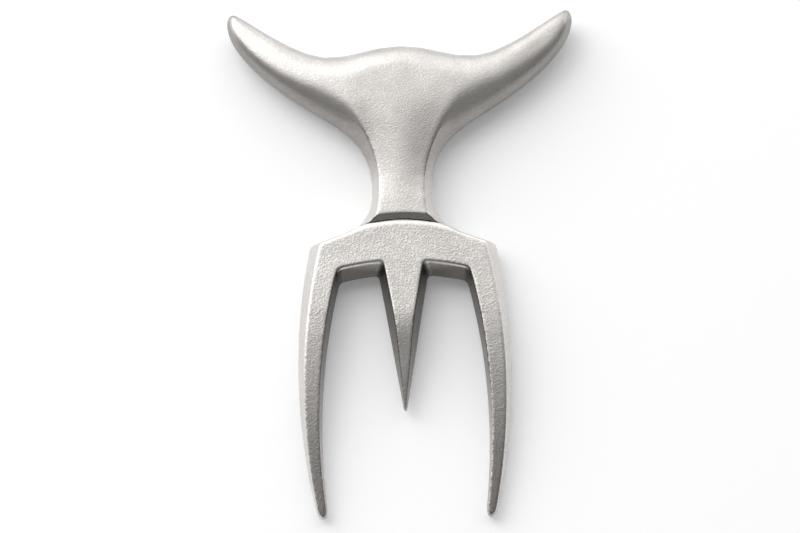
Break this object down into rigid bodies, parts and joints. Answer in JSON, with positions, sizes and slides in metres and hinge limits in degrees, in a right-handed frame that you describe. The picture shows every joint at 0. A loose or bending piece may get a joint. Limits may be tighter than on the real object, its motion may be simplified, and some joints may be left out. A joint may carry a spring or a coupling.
{
  "type": "meat fork",
  "caption": "Hand-held cast steel meat fork: a bull-horn T-grip joined by a hidden pinned tang to a broad arched yoke that carries curved tapering tines for lifting and pulling meat.",
  "frame": {"origin": "middle of the bounding box on the plane of the flat backs, which lie on the table", "axes": "+X across the horns, +Y from the tine tips towards the horn tips, +Z out of the front face"},
  "size_m": [0.128, 0.19, 0.016],
  "materials": {
    "handle_steel": "fine bead-blasted cast stainless steel",
    "head_steel": "coarse as-cast stainless steel, bead blasted",
    "pin_steel": "ground stainless steel"
  },
  "bodies": {
    "root": {"handle": "handle_steel", "fork_head": "head_steel", "tang_pins": "pin_steel"}
  },
  "joints": []
}
